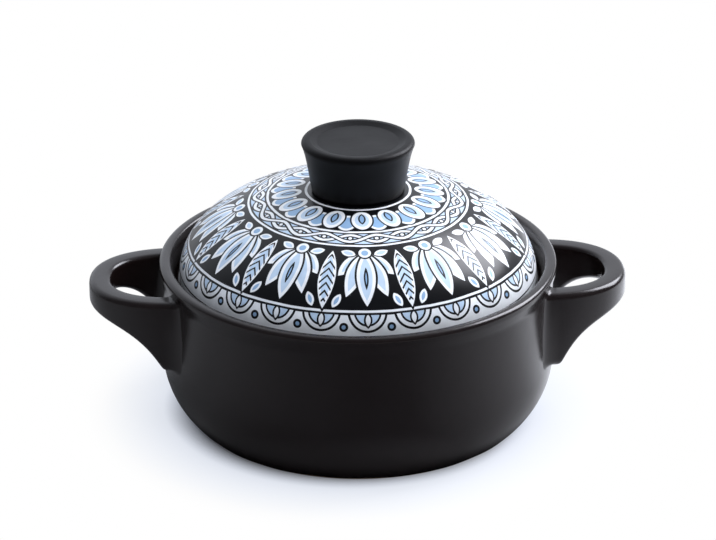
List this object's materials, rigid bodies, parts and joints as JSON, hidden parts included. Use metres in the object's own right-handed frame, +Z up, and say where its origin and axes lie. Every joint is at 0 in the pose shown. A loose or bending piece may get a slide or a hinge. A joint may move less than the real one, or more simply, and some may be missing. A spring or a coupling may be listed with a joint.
{
  "type": "lidded clay casserole",
  "caption": "Round stoneware casserole with two ear handles and a domed glazed lid that drops into a stepped rim and lifts off by a flared hollow knob.",
  "frame": {"origin": "middle of the foot ring, on the surface that the pot stands on", "axes": "+Z up along the axis that the pot is turned about and the lid lifts along; +X towards the right ear handle"},
  "size_m": [0.2978, 0.22, 0.1621],
  "materials": {
    "black_satin_glaze": "satin",
    "patterned_white_glaze": "gloss",
    "black_matt_glaze": "matt",
    "bare_clay": "matt"
  },
  "bodies": {
    "pot": {"pot_bowl": "black_satin_glaze", "handle_left": "black_satin_glaze", "handle_right": "black_satin_glaze"},
    "lid": {"lid_dome": "patterned_white_glaze", "lid_knob": "black_matt_glaze"}
  },
  "joints": [
    {"name": "lid_lift", "type": "slide", "parent": "pot", "child": "lid", "axis": [0, 0, 1], "range_m": [0, 0.16]}
  ]
}
